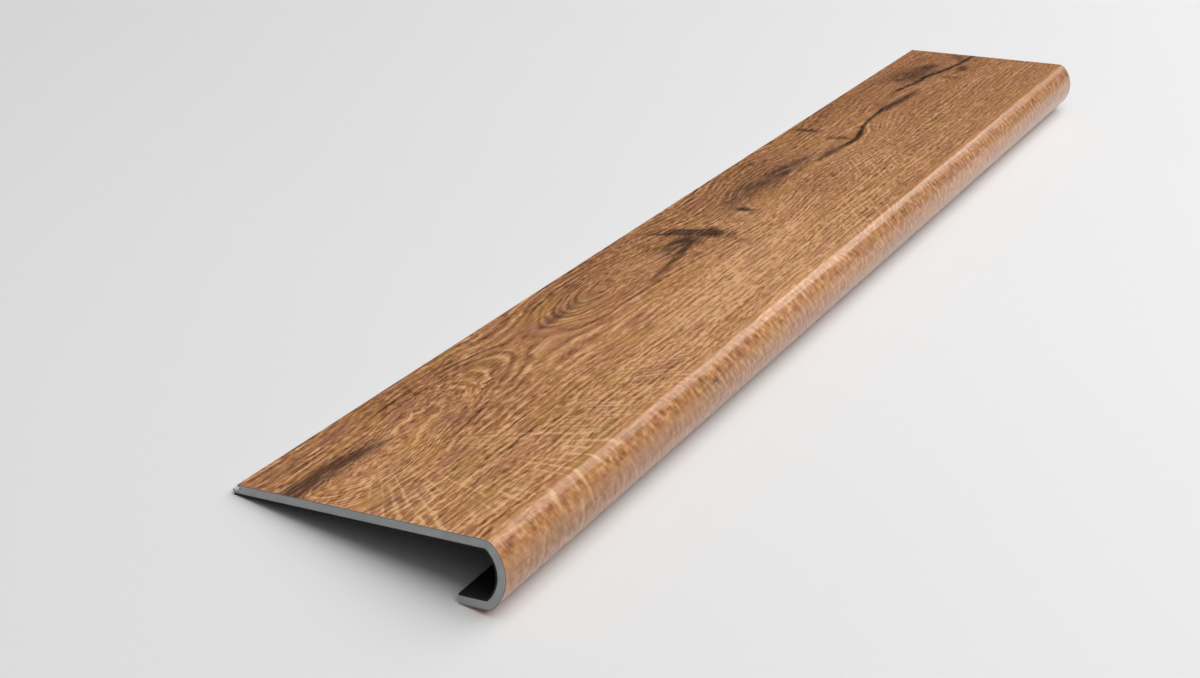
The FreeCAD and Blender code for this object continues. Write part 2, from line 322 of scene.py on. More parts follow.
def all_cracks(tree, place):
    """Deepest of the cracks at each place."""
    return strongest(tree, [crack(tree, place, points, half_width) for points, half_width in CRACKS])


# Dark stains in the print: centre, half length and half width, slope in degrees, strength
PURPLE_STAINS = (
    ((28, 35), (95, 14), 3, 1.0),
    ((62, 38), (52, 11), 5, 0.8),
    ((140, 68), (38, 12), 14, 0.25),
    ((322, 36), (60, 8), -2, 0.55),
    ((458, 60), (80, 6), -5, 0.6),
    ((500, 48), (60, 20), 4, 0.5),
    ((680, 41), (160, 26), 2, 0.68),
    ((735, 46), (90, 17), 5, 0.95),
    ((630, 34), (80, 15), 0, 0.3),
    ((790, 60), (50, 9), 10, 0.5),
    ((536, 82), (24, 9), -62, 0.4),
    ((486, 36), (20, 7), 10, 0.4),
    ((608, 50), (18, 12), 60, 0.5),
    ((860, 15), (10, 24), -6, 1.0),
    ((848, 51), (9, 17), -25, 1.0),
    ((1110, 34), (74, 28), 8, 0.7),
    ((1084, 30), (16, 9), 0, 0.6),
    ((1150, 40), (30, 18), 20, 0.7),
    ((1160, 73), (24, 10), 0, 0.8),
    ((1116, 72), (10, 20), 10, 0.6),
    ((1000, 58), (100, 8), 3, 0.9),
    ((1205, 54), (24, 9), -20, 0.6),
)
BLACK_STAINS = (
    ((527, 36), (44, 6), 62, 1.0),
    ((541, 44), (42, 6.5), 68, 1.0),
    ((540, 57), (32, 20), 72, 1.0),
    ((517, 46), (40, 5.5), 17, 0.85),
    ((504, 54), (50, 5), -3, 0.85),
    ((514, 50), (52, 15), 8, 0.42),
    ((534, 42), (44, 17), 62, 0.8),
    ((609, 59), (12, 9), 60, 1.0),
    ((60, 37), (48, 6), 4, 0.3),
    ((14, 33), (40, 4), 2, 0.26),
    ((456, 60), (64, 3.5), -5, 0.3),
    ((872, 63), (22, 5.5), -14, 1.0),
    ((806, 62), (56, 5), 5, 0.6),
    ((1008, 58), (70, 4.5), 3, 0.5),
    ((1112, 37), (28, 16), 10, 0.3),
    ((1150, 40), (22, 13), 10, 0.3),
    ((1083, 30), (11, 7), 0, 0.7),
    ((1160, 73), (18, 8), 0, 0.3),
    ((1112, 50), (44, 5), 8, 0.6),
)


# Streaks that break the stains up, as length, width and seed, and how far they do
STAIN_STREAKS = (40, 2, 23)
RAGGED = {"From Min": 0.3, "From Max": 0.6, "To Min": 0.5, "To Max": 1.65}


def stains(tree, place, fibres, spots):
    """Strongest of some dark stains at each place, broken up along the fibres."""
    stained = []
    for centre, radii, slope, strength in spots:
        one = spot(tree, place, centre, radii, slope)
        stained.append(node(tree, MATH, {0: one, 1: strength}, operation="MULTIPLY"))
    broken = streaks(tree, fibres, *STAIN_STREAKS, detail=3)
    ragged = node(tree, RANGE, {"Value": broken, **RAGGED})
    return node(tree, MATH, {0: strongest(tree, stained), 1: ragged}, operation="MULTIPLY", use_clamp=True)


# Fan of pale saw marks over the grain: its centre, the angle between its strokes, their length and seed
FAN_CENTRE = (85, 37)
FAN_PITCH = 0.085
FAN_STROKE = 34
FAN_SEED = 51

# Where the fan sets in and ends: from its centre, below its centre and by its angle
FAN_INNER = {"From Min": 30, "From Max": 60}
FAN_OUTER = {"From Min": 140, "From Max": 200, **FALLING}
FAN_BELOW = {"From Min": 15, "From Max": 40}
FAN_BESIDE = {"From Min": 0.55, "From Max": 0.8, **FALLING}

# The fan is faint in its middle, apart from its foot on the nose
FAN_SIDES = {"From Min": 0.25, "From Max": 0.42, "To Min": 0.2}
FAN_FOOT = {"From Min": 88, "From Max": 106, "To Min": 0.2}

# Fields of even saw marks: centre, half length and half width, slope in degrees, stroke length, strength
SAW_FIELDS = (
    ((255, 138), (95, 40), 44, 30, 1.0),
    ((330, 174), (150, 18), 47, 14, 0.9),
    ((640, 147), (96, 32), -32, 14, 1.0),
    ((778, 108), (78, 46), -30, 18, 1.0),
    ((940, 112), (110, 40), 38, 14, 0.8),
    ((760, 174), (420, 16), 40, 14, 0.35),
    ((182, 138), (48, 34), 60, 30, 1.0),
)
SAW_PITCH = 5.2
FIELD_GAIN = 1.8

# The saw marks are worn fainter round the nose
SAW_WORN = {"From Min": 160, "From Max": 172, "To Min": 1, "To Max": 0.5}

# Strokes: how thin they are, how far they wander and how wide their gaps are in pitches, and what is kept
STROKE_THIN = {"From Min": 0.3, "From Max": 0.95}
STROKE_WANDER = 0.6
STROKE_GAPS = 1.5
STROKE_KEPT = {"From Min": 0.43, "From Max": 0.56}


def strokes(tree, place, pitch, length, seed):
    """One on thin broken strokes at an even pitch across the place."""
    wave = even_lines(tree, place, pitch, length, seed, STROKE_WANDER)
    thin = node(tree, RANGE, {"Value": wave, **STROKE_THIN})
    patches = streaks(tree, place, length, STROKE_GAPS * pitch, seed + 0.3, detail=1)
    kept = node(tree, RANGE, {"Value": patches, **STROKE_KEPT})
    return node(tree, MATH, {0: thin, 1: kept}, operation="MULTIPLY")


def saw_fan(tree, place):
    """One on the pale strokes that spread from the fan's centre to the nose."""
    moved = node(tree, VECTOR, {0: place, 1: (*FAN_CENTRE, 0)}, operation="SUBTRACT")
    along = node(tree, SPLIT, {0: moved}, output="X")
    across = node(tree, SPLIT, {0: moved}, output="Y")
    angle = node(tree, MATH, {0: along, 1: across}, operation="ARCTAN2")
    radius = node(tree, VECTOR, {0: moved}, output="Value", operation="LENGTH")
    polar = node(tree, JOIN, {"X": radius, "Y": angle})
    fan = strokes(tree, polar, FAN_PITCH, FAN_STROKE, FAN_SEED)
    steep = node(tree, MATH, {0: angle}, operation="ABSOLUTE")
    sides = node(tree, RANGE, {"Value": steep, **FAN_SIDES})
    foot = node(tree, RANGE, {"Value": across, **FAN_FOOT})
    parts = [strongest(tree, [sides, foot])]
    for value, limits in ((radius, FAN_INNER), (radius, FAN_OUTER), (across, FAN_BELOW), (angle, FAN_BESIDE)):
        parts.append(node(tree, RANGE, {"Value": value, **limits}))
    for part in parts:
        fan = node(tree, MATH, {0: fan, 1: part}, operation="MULTIPLY")
    return fan


def saw_marks(tree, place):
    """One on the pale strokes that a rough saw left across the grain."""
    marks = [saw_fan(tree, place)]
    for seed, (centre, radii, slope, length, strength) in enumerate(SAW_FIELDS):
        field = spot(tree, place, centre, radii)
        field = node(tree, MATH, {0: field, 1: FIELD_GAIN * strength}, operation="MULTIPLY", use_clamp=True)
        turned = node(tree, TURN, {"Vector": place, "Angle": -math.radians(slope)}, rotation_type="Z_AXIS")
        one = strokes(tree, turned, SAW_PITCH, length, seed + 0.5)
        marks.append(node(tree, MATH, {0: one, 1: field}, operation="MULTIPLY"))
    across = node(tree, SPLIT, {0: place}, output="Y")
    worn = node(tree, RANGE, {"Value": across, **SAW_WORN})
    return node(tree, MATH, {0: strongest(tree, marks), 1: worn}, operation="MULTIPLY")


# Streaks along the growth rings and along the fibres: length and width in millimetres, seed, weight.
# The finest fibres of oak are under half a millimetre wide, and are drawn coarser so that they show.
RING_STREAKS = (
    (260, 26, 11, 0.42),
    (170, 10, 12, 0.2),
    (90, 5, 13, 0.2),
    (75, 2.5, 14, 0.42),
    (24, 2, 15, 0.6),
)
FIBRE_STREAKS = (
    (26, 3, 17, 0.25),
    (13, 2.1, 18, 1.0),
    (6.5, 1.6, 19, 0.95),
)

# Stretch of straight long grain, as centre, half length and half width, and what it leaves of the ticks
STRAIGHT_STRETCH = ((330, 60), (170, 100))
FEWER_TICKS = {"To Min": 1, "To Max": 0.5}

# Where the grain is calmer: towards the far end, round the nose and on the nose's lower half
FAR_CALM = {"From Min": 600, "From Max": 1000, "To Min": 1, "To Max": 0.72}
NOSE_CALM = {"From Min": 152, "From Max": 163, "To Min": 1, "To Max": 0.25}
LOW_NOSE_CALM = {"From Min": 170, "From Max": 179, "To Min": 1, "To Max": 0.5}

# Fleck of the nose: length, width and seed, its slope in degrees, and where it sets in
NOSE_FLECK = (8.5, 4.2, 20)
NOSE_FLECK_SLOPE = 58
NOSE_FLECK_WEIGHT = {"From Min": 160, "From Max": 168, "To Max": 1.2}

# Ring lines: their pitch in millimetres, the closer pitch at the heart and how far it reaches, their weight
RING_PITCH = 4.7
HEART_PITCH = 2.2
HEART_REACH = 25
RING_WEIGHT = 0.145

# Wander of the ring lines, as length, seed and pitches, and the patches that thin them out
RING_WANDER = (90, 41, 0.6)
RING_PATCHES = (45, 4, 42)
RING_STRENGTH = {"From Min": 0.3, "From Max": 0.7, "To Max": 1.6}
HEART_FAINT = {"From Max": 20, "To Min": 0.7}

MIDDLE_TONE = 0.58

# Broad lighter and darker stretches of the board: centre, half length and half width, change of lightness
# The darker stretches on the nose, from 160 mm across, are painted shade on its curve
BROAD_TONES_AND_NOSE_SHADE = (
    ((610, 0), (1400, 75), -0.11),
    ((480, 130), (330, 90), 0.17),
    ((500, 60), (130, 50), -0.05),
    ((1130, 70), (420, 150), -0.05),
    ((100, 100), (160, 60), 0.02),
    # painted shade on the nose
    ((400, 178), (640, 22), -0.1),
    ((165, 38), (95, 38), -0.08),
    ((370, 35), (95, 36), -0.05),
    # painted shade on the nose, down to its lower curve, from here to the end
    ((700, 168), (160, 14), -0.05),
    ((610, 198), (1000, 22), -0.1),
    ((1100, 177), (300, 24), -0.06),
    ((70, 188), (220, 18), -0.07),
)


def ring_lines(tree, rings):
    """Growth rings at an even pitch along the grain lines, from minus one to one, thinned out in patches."""
    across = node(tree, SPLIT, {0: rings}, output="Y")
    closer = HEART_REACH * (RING_PITCH / HEART_PITCH - 1)
    crowded = node(tree, RANGE, {"Value": across, "From Max": HEART_REACH, "To Max": closer})
    crowding = node(tree, JOIN, {"Y": crowded})
    spread = node(tree, VECTOR, {0: rings, 1: crowding}, operation="ADD")
    wave = even_lines(tree, spread, RING_PITCH, *RING_WANDER)
    thinned = streaks(tree, rings, *RING_PATCHES)
    strength = node(tree, RANGE, {"Value": thinned, **RING_STRENGTH})
    faint = node(tree, RANGE, {"Value": across, **HEART_FAINT})
    strength = node(tree, MATH, {0: strength, 1: faint}, operation="MULTIPLY")
    return node(tree, MATH, {0: wave, 1: strength}, operation="MULTIPLY")


def layered(tree, place, layers, relief):
    """Relief with some layers of streaks added to it, each by its weight."""
    for length, width, seed, weight in layers:
        part = streaks(tree, place, length, width, seed)
        level = node(tree, MATH, {0: part, 1: 0.5}, operation="SUBTRACT")
        relief = node(tree, MATH, {0: level, 1: weight, 2: relief}, operation="MULTIPLY_ADD")
    return relief


def grain_relief(tree, place, fibres, rings):
    """Relief of the grain around nothing, out of ring lines, streaks and ticks."""
    lines = node(tree, MATH, {0: ring_lines(tree, rings), 1: RING_WEIGHT}, operation="MULTIPLY")
    lines = layered(tree, rings, RING_STREAKS, lines)
    ticks = layered(tree, fibres, FIBRE_STREAKS, 0)
    straight = spot(tree, place, *STRAIGHT_STRETCH)
    fewer = node(tree, RANGE, {"Value": straight, **FEWER_TICKS})
    relief = node(tree, MATH, {0: ticks, 1: fewer, 2: lines}, operation="MULTIPLY_ADD")
    along = node(tree, SPLIT, {0: place}, output="X")
    across = node(tree, SPLIT, {0: place}, output="Y")
    far = node(tree, RANGE, {"Value": along, **FAR_CALM})
    nose = node(tree, RANGE, {"Value": across, **NOSE_CALM})
    calm = node(tree, MATH, {0: far, 1: nose}, operation="MULTIPLY")
    return node(tree, MATH, {0: relief, 1: calm}, operation="MULTIPLY")


def print_tone(tree, place, fibres, rings):
    """Lightness of the print around a half, out of its grain, the fleck of the nose and broad shades, with
    painted shade on the nose.
    """
    slope = -math.radians(NOSE_FLECK_SLOPE)
    turned = node(tree, TURN, {"Vector": place, "Angle": slope}, rotation_type="Z_AXIS")
    fleck = streaks(tree, turned, *NOSE_FLECK)
    level = node(tree, MATH, {0: fleck, 1: 0.5}, operation="SUBTRACT")
    across = node(tree, SPLIT, {0: place}, output="Y")
    weight = node(tree, RANGE, {"Value": across, **NOSE_FLECK_WEIGHT})
    grain = grain_relief(tree, place, fibres, rings)
    relief = node(tree, MATH, {0: level, 1: weight, 2: grain}, operation="MULTIPLY_ADD")
    low = node(tree, RANGE, {"Value": across, **LOW_NOSE_CALM})
    tone = node(tree, MATH, {0: relief, 1: low, 2: MIDDLE_TONE}, operation="MULTIPLY_ADD")
    for centre, radii, change in BROAD_TONES_AND_NOSE_SHADE:
        shade = spot(tree, place, centre, radii)
        tone = node(tree, MATH, {0: shade, 1: change, 2: tone}, operation="MULTIPLY_ADD")
    return tone


# Lightness steps of the oak print, from its darkest rings to its palest fibres
OAK_STEPS = (
    (0.10, "#51362a"),
    (0.20, "#6c4631"),
    (0.29, "#84573b"),
    (0.36, "#956444"),
    (0.43, "#a4704b"),
    (0.50, "#b37c53"),
    (0.57, "#bf875c"),
    (0.64, "#cb9366"),
    (0.73, "#daa475"),
    (0.85, "#edba8a"),
)


# Patches of golden, olive and pink heartwood: what they follow, length and width in millimetres, seed,
# hue, and how they set in
HEARTWOOD_PATCHES = (
    ("fibres", 70, 14, 31, "#bf8c48", {"From Min": 0.5, "From Max": 0.72, "To Max": 0.45}),
    ("rings", 50, 11, 32, "#8d7341", {"From Min": 0.54, "From Max": 0.74, "To Max": 0.42}),
    ("rings", 60, 12, 33, "#a9705a", {"From Min": 0.51, "From Max": 0.72, "To Max": 0.48}),
)

# Colours of the saw marks, the washes that darken the stains, the cracks and the film's cut edge
SAW_PALE = "#e6ba88"
PURPLE_WASH = "#9c99a8"
BLACK_WASH = "#7c8087"
CRACK_DARK = "#33241a"
FILM_EDGE = "#6d7b84"

# The saw marks show most on pale grain
OVER_GRAIN = {"From Min": 0.4, "From Max": 0.62, "To Min": 0.24, "To Max": 0.95}


def bare_material(name):
    """New material without nodes, and its tree."""
    material = bpy.data.materials.new(name)
    material.use_nodes = True
    material.node_tree.nodes.clear()
    return material, material.node_tree


def print_material():
    """Vinyl print of rustic oak under a satin clear film: warm streaky grain with a soft even sheen."""
    material, tree = bare_material("oak print under satin vinyl film")
    flat = node(tree, "ShaderNodeAttribute", output="Vector", attribute_name="flat_place")
    place = print_place(tree, flat)
    fibres = along_fibres(tree, place)
    rings = along_rings(tree, place, fibres)
    tone = print_tone(tree, place, fibres, rings)
    ramp = tree.nodes.new("ShaderNodeValToRGB")
    while len(ramp.color_ramp.elements) < len(OAK_STEPS):
        ramp.color_ramp.elements.new(0.5)
    for element, (step, colour) in zip(ramp.color_ramp.elements, OAK_STEPS):
        element.position = step
        element.color = linear(colour)
    tree.links.new(tone, ramp.inputs["Fac"])
    colour = ramp.outputs["Color"]
    courses = {"fibres": fibres, "rings": rings}
    for followed, length, width, seed, hue, onset in HEARTWOOD_PATCHES:
        patch = streaks(tree, courses[followed], length, width, seed)
        share = node(tree, RANGE, {"Value": patch, **onset})
        colour = node(tree, MIX, {MIX_FACTOR: share, MIX_FIRST: colour, MIX_SECOND: linear(hue)},
                      output=MIX_RESULT, data_type="RGBA")
    over_grain = node(tree, RANGE, {"Value": tone, **OVER_GRAIN})
    share = node(tree, MATH, {0: saw_marks(tree, place), 1: over_grain}, operation="MULTIPLY")
    colour = node(tree, MIX, {MIX_FACTOR: share, MIX_FIRST: colour, MIX_SECOND: linear(SAW_PALE)},
                  output=MIX_RESULT, data_type="RGBA")
    for spots, hue in ((PURPLE_STAINS, PURPLE_WASH), (BLACK_STAINS, BLACK_WASH)):
        stained = stains(tree, place, fibres, spots)
        colour = node(tree, MIX, {MIX_FACTOR: stained, MIX_FIRST: colour, MIX_SECOND: linear(hue)},
                      output=MIX_RESULT, data_type="RGBA", blend_type="MULTIPLY")
    cracks = all_cracks(tree, place)
    colour = node(tree, MIX, {MIX_FACTOR: cracks, MIX_FIRST: colour, MIX_SECOND: linear(CRACK_DARK)},
                  output=MIX_RESULT, data_type="RGBA")

    # Cut edge of the film at the ends of the tread
    facing = node(tree, "ShaderNodeNewGeometry", output="True Normal")
    lengthwise = node(tree, SPLIT, {0: facing}, output="X")
    endwise = node(tree, MATH, {0: lengthwise}, operation="ABSOLUTE")
    edge = node(tree, RANGE, {"Value": endwise, "From Min": 0.4, "From Max": 0.6})
    colour = node(tree, MIX, {MIX_FACTOR: edge, MIX_FIRST: colour, MIX_SECOND: linear(FILM_EDGE)},
                  output=MIX_RESULT, data_type="RGBA")
    roughness = node(tree, RANGE, {"Value": tone, "To Min": 0.5, "To Max": 0.4})
    bump = node(tree, "ShaderNodeBump", {"Height": tone, "Strength": 0.35, "Distance": 0.15 * MM})
    shader = node(tree, "ShaderNodeBsdfPrincipled", {
        "Base Color": colour, "Roughness": roughness, "Normal": bump, "IOR": 1.5, "Specular IOR Level": 0.05,
        "Coat Weight": 0.72, "Coat Roughness": 0.11, "Coat IOR": 1.5})
    node(tree, "ShaderNodeOutputMaterial", {"Surface": shader})
    return material


# Sizes in millimetres in the core and the foam. Real grit and cells are finer than half a millimetre, and are
# drawn coarser so that they show.
CORE_GRIT = 0.7
CORE_CLOUD = 9
FOAM_CELL = 1.1


def core_material():
    """Pressed limestone and vinyl board: matt mid grey with pale and dark grit, and painted light on the
    joint's faces.
    """
    material, tree = bare_material("limestone filled vinyl board")
    place = node(tree, "ShaderNodeTexCoord", output="Object")
    grit = node(tree, NOISE, {"Vector": place, "Scale": 1 / (CORE_GRIT * MM), "Detail": 3, "Roughness": 0.7})
    cloud = node(tree, NOISE, {"Vector": place, "Scale": 1 / (CORE_CLOUD * MM), "Detail": 2})
    both = node(tree, MATH, {0: grit, 1: cloud}, operation="ADD")
    share = node(tree, RANGE, {"Value": both, "From Min": 0.7, "From Max": 1.3})
    colour = node(tree, MIX, {MIX_FACTOR: share, MIX_FIRST: linear("#949796"), MIX_SECOND: linear("#a6a9a8")},
                  output=MIX_RESULT, data_type="RGBA")
    # The milled joint is paler than the sawn ends
    # Painted light: the faces of the joint at the back edge are painted near white as if brightly lit, apart
    # from the sawn ends
    facing = node(tree, "ShaderNodeNewGeometry", output="True Normal")
    lengthwise = node(tree, SPLIT, {0: facing}, output="X")
    endwise = node(tree, MATH, {0: lengthwise}, operation="ABSOLUTE")
    flat = node(tree, "ShaderNodeAttribute", output="Vector", attribute_name="flat_place")
    inward = node(tree, SPLIT, {0: flat}, output="Y")
    groove_end = -GROOVE_DEPTH * MM
    joint_painted_light = node(tree, RANGE, {"Value": inward, "From Min": 1.2 * groove_end, "From Max": groove_end})
    pale = node(tree, MATH, {0: joint_painted_light, 1: endwise}, operation="SUBTRACT", use_clamp=True)
    colour = node(tree, MIX, {MIX_FACTOR: pale, MIX_FIRST: colour, MIX_SECOND: linear("#dcdedd")},
                  output=MIX_RESULT, data_type="RGBA")
    bump = node(tree, "ShaderNodeBump", {"Height": grit, "Strength": 0.3, "Distance": 0.1 * MM})
    shader = node(tree, "ShaderNodeBsdfPrincipled", {
        "Base Color": colour, "Roughness": 0.62, "Normal": bump, "IOR": 1.5})
    node(tree, "ShaderNodeOutputMaterial", {"Surface": shader})
    return material


def foam_material():
    """Closed-cell black foam sheet: nearly black and dull, with a fine pebbled skin."""
    material, tree = bare_material("black closed cell foam")
    place = node(tree, "ShaderNodeTexCoord", output="Object")
    cells = node(tree, "ShaderNodeTexVoronoi", {"Vector": place, "Scale": 1 / (FOAM_CELL * MM)},
                 output="Distance")
    share = node(tree, RANGE, {"Value": cells, "From Min": 0.1, "From Max": 0.8})
    colour = node(tree, MIX, {MIX_FACTOR: share, MIX_FIRST: linear("#1c1c1d"), MIX_SECOND: linear("#111112")},
                  output=MIX_RESULT, data_type="RGBA")
    bump = node(tree, "ShaderNodeBump", {"Height": cells, "Strength": 0.4, "Distance": 0.15 * MM},
                invert=True)
    shader = node(tree, "ShaderNodeBsdfPrincipled", {
        "Base Color": colour, "Roughness": 0.85, "Normal": bump, "IOR": 1.45})
    node(tree, "ShaderNodeOutputMaterial", {"Surface": shader})
    return material


# Ceiling banks that the nose gleams under, in metres: middle and height, length and width, watts
CEILING_BANKS = (
    ("ceiling bank", (2.6, -0.9, 2.5), (9, 2.9), 164),
    ("far ceiling bank", (8.6, -0.9, 2.5), (3, 2.9), 20),
)

# Floor below the nearer bank, how far its light reaches there, and the glow that keeps the rest bright
BANK_FOOT = (2.6, -0.9, 0)
BANK_REACH = (6, 3, 1)
FAR_FLOOR_GLOW = {"From Min": 1, "From Max": 2.5, "To Max": 0.5}
FLOOR_CLOUD = 770


def floor_material():
    """Pale matt studio board: light neutral grey with the faintest unevenness."""
    material, tree = bare_material("pale matt studio board")
    place = node(tree, "ShaderNodeTexCoord", output="Object")
    cloud = node(tree, NOISE, {"Vector": place, "Scale": 1 / (FLOOR_CLOUD * MM), "Detail": 2})
    colour = node(tree, MIX, {MIX_FACTOR: cloud, MIX_FIRST: linear("#e2e2e2"), MIX_SECOND: linear("#e6e6e6")},
                  output=MIX_RESULT, data_type="RGBA")
    from_bank = node(tree, VECTOR, {0: place, 1: BANK_FOOT}, operation="SUBTRACT")
    share = node(tree, VECTOR, {0: from_bank, 1: BANK_REACH}, operation="DIVIDE")
    distance = node(tree, VECTOR, {0: share}, output="Value", operation="LENGTH")
    glow = node(tree, RANGE, {"Value": distance, **FAR_FLOOR_GLOW})
    shader = node(tree, "ShaderNodeBsdfPrincipled", {
        "Base Color": colour, "Roughness": 0.8, "Specular IOR Level": 0.2,
        "Emission Color": linear("#ffffff"), "Emission Strength": glow})
    node(tree, "ShaderNodeOutputMaterial", {"Surface": shader})
    return material


def bending_tree():
    """Tree that bends a flat layer round the nose and lays it on the floor, keeping its flat place."""
    tree = bpy.data.node_groups.new("bend round the nose", "GeometryNodeTree")
    tree.interface.new_socket("Geometry", in_out="INPUT", socket_type="NodeSocketGeometry")
    for name in ("Top Width", "Bend Radius", "Bend Turn", "Crown Radius", "Crown Turn", "Tilt"):
        tree.interface.new_socket(name, in_out="INPUT", socket_type="NodeSocketFloat")
    tree.interface.new_socket("Joint Edge", in_out="INPUT", socket_type="NodeSocketVector")
    tree.interface.new_socket("Material", in_out="INPUT", socket_type="NodeSocketMaterial")
    tree.interface.new_socket("Geometry", in_out="OUTPUT", socket_type="NodeSocketGeometry")

    flat = node(tree, "GeometryNodeInputPosition")
    along = node(tree, SPLIT, {0: flat}, output="X")
    level = node(tree, SPLIT, {0: flat}, output="Y")
    height = node(tree, SPLIT, {0: flat}, output="Z")
    top_width = node(tree, "NodeGroupInput", output="Top Width")
    across = node(tree, MATH, {0: level, 1: -1}, operation="MULTIPLY")
    on_top = node(tree, MATH, {0: across, 1: top_width}, operation="MINIMUM")
    back = node(tree, MATH, {0: on_top, 1: -1}, operation="MULTIPLY")
    up = 0.0
    left = node(tree, MATH, {0: across, 1: top_width}, operation="SUBTRACT")
    turned = 0.0
    heading = 0.0
    for arc in ("Bend", "Crown", "Bend"):
        radius = node(tree, "NodeGroupInput", output=f"{arc} Radius")
        turn = node(tree, "NodeGroupInput", output=f"{arc} Turn")
        arc_length = node(tree, MATH, {0: radius, 1: turn}, operation="MULTIPLY")
        part = node(tree, RANGE, {"Value": left, "From Max": arc_length, "To Max": turn})
        reached = node(tree, MATH, {0: heading, 1: part}, operation="ADD")
        for operation, sign in (("SINE", -1), ("COSINE", 1)):
            ahead = node(tree, MATH, {0: reached}, operation=operation)
            before = node(tree, MATH, {0: heading}, operation=operation)
            change = node(tree, MATH, {0: ahead, 1: before}, operation="SUBTRACT")
            reach = node(tree, MATH, {0: radius, 1: sign}, operation="MULTIPLY")
            if operation == "SINE":
                back = node(tree, MATH, {0: change, 1: reach, 2: back}, operation="MULTIPLY_ADD")
            else:
                up = node(tree, MATH, {0: change, 1: reach, 2: up}, operation="MULTIPLY_ADD")
        turned = node(tree, MATH, {0: turned, 1: part}, operation="ADD")
        heading = node(tree, MATH, {0: heading, 1: turn}, operation="ADD")
        left = node(tree, MATH, {0: left, 1: arc_length}, operation="SUBTRACT")
    on_lip = node(tree, MATH, {0: left, 1: 0}, operation="MAXIMUM")
    back = node(tree, MATH, {0: back, 1: on_lip}, operation="ADD")
    sine = node(tree, MATH, {0: turned}, operation="SINE")
    cosine = node(tree, MATH, {0: turned}, operation="COSINE")
    depth = node(tree, MATH, {0: height, 1: -1}, operation="MULTIPLY")
    back = node(tree, MATH, {0: sine, 1: depth, 2: back}, operation="MULTIPLY_ADD")
    up = node(tree, MATH, {0: cosine, 1: height, 2: up}, operation="MULTIPLY_ADD")
    bent = node(tree, JOIN, {"X": along, "Y": back, "Z": up})
    tilt_up = node(tree, "NodeGroupInput", output="Tilt")
    tilt_down = node(tree, MATH, {0: tilt_up, 1: -1}, operation="MULTIPLY")
    lying = node(tree, TURN, {"Vector": bent, "Angle": tilt_down}, rotation_type="X_AXIS")
    joint_edge = node(tree, "NodeGroupInput", output="Joint Edge")
    placed = node(tree, VECTOR, {0: lying, 1: joint_edge}, operation="ADD")

    layer = node(tree, "NodeGroupInput", output="Geometry")
    layer = node(tree, "GeometryNodeStoreNamedAttribute",
                 {"Geometry": layer, "Name": "flat_place", "Value": flat},
                 data_type="FLOAT_VECTOR", domain="POINT")
    layer = node(tree, "GeometryNodeSetPosition", {"Geometry": layer, "Position": placed})
    layer = node(tree, "GeometryNodeRealizeInstances", {"Geometry": layer})
    material = node(tree, "NodeGroupInput", output="Material")
    layer = node(tree, "GeometryNodeSetMaterial", {"Geometry": layer, "Material": material})
    node(tree, "NodeGroupOutput", {"Geometry": layer})
    return tree


def flat_layer(name, rungs, top, bottom, back=(), stations=2):
    """Closed flat layer, from its cross lines' distances and depths, and the corners of its back edge.

    Its outer face has many stations along the tread, and the rest runs from end to end.
    """
    verts = []
    faces = []
    ends = (near_end, far_end)
    xs = [near_end + tread_length * step / (stations - 1) for step in range(stations)]
    for x in xs:
        verts += [(x, -across * MM, -top * MM) for across in rungs]
    count = len(rungs)
    for step in range(stations - 1):
        for rung in range(count - 1):
            first = step * count + rung
            faces.append((first, first + 1, first + count + 1, first + count))
    outline = [(across, bottom) for across in reversed(rungs)] + [*back]
    inside = [len(verts), len(verts) + len(outline)]
    for x in ends:
        verts += [(x, -across * MM, -depth * MM) for across, depth in outline]
    near, far = inside
    for step in range(len(outline) - 1):
        faces.append((near + step, near + step + 1, far + step + 1, far + step))
    last_station = (stations - 1) * count
    lip_edge = [step * count + count - 1 for step in range(stations)]
    back_edge = [step * count for step in range(stations)]
    faces.append((*reversed(lip_edge), near, far))
    faces.append((*back_edge, far + len(outline) - 1, near + len(outline) - 1))
    for rung in range(count - 1):
        below = count - 1 - rung
        faces.append((rung, near + below, near + below - 1, rung + 1))
        faces.append((last_station + rung, last_station + rung + 1, far + below - 1, far + below))
    if back:
        faces.append((0, *range(near + len(outline) - 1, near + count - 2, -1)))
        faces.append((last_station, *range(far + count - 1, far + len(outline))))
    mesh = bpy.data.meshes.new(name)
    mesh.from_pydata(verts, [], faces)
    mesh.update()
    piece = bpy.data.objects.new(name, mesh)
    bpy.context.scene.collection.objects.link(piece)
    return piece


def bend_layer(piece, tree, material):
    """Bend a flat layer by the tree, and leave it as a plain mesh."""
    sizes = {
        "Top Width": TOP_END * MM, "Bend Radius": BEND_RADIUS * MM, "Bend Turn": BEND_TURN,
        "Crown Radius": CROWN_RADIUS * MM, "Crown Turn": CROWN_TURN, "Tilt": tilt,
        "Joint Edge": (0, joint_edge_y, joint_edge_z), "Material": material,
    }
    modifier = piece.modifiers.new("bend round the nose", "NODES")
    modifier.node_group = tree
    for item in tree.interface.items_tree:
        if item.name in sizes:
            modifier[item.identifier] = sizes[item.name]
    depsgraph = bpy.context.evaluated_depsgraph_get()
    mesh = bpy.data.meshes.new_from_object(piece.evaluated_get(depsgraph))
    piece.modifiers.clear()
    piece.data = mesh
    for face in mesh.polygons:
        face.use_smooth = True
    mesh.set_sharp_from_angle(angle=math.radians(30))


def arc_rungs(bend_steps, crown_steps):
    """Distances across the face of the cross lines round the nose, from the first bend to the lip."""
    rungs = []
    for start, end, steps in ((TOP_END, BEND_END, bend_steps), (BEND_END, CROWN_END, crown_steps),
                              (CROWN_END, LOW_BEND_END, bend_steps)):
        rungs += [start + (end - start) * step / steps for step in range(steps)]
    return rungs + [LOW_BEND_END, LIP_END]


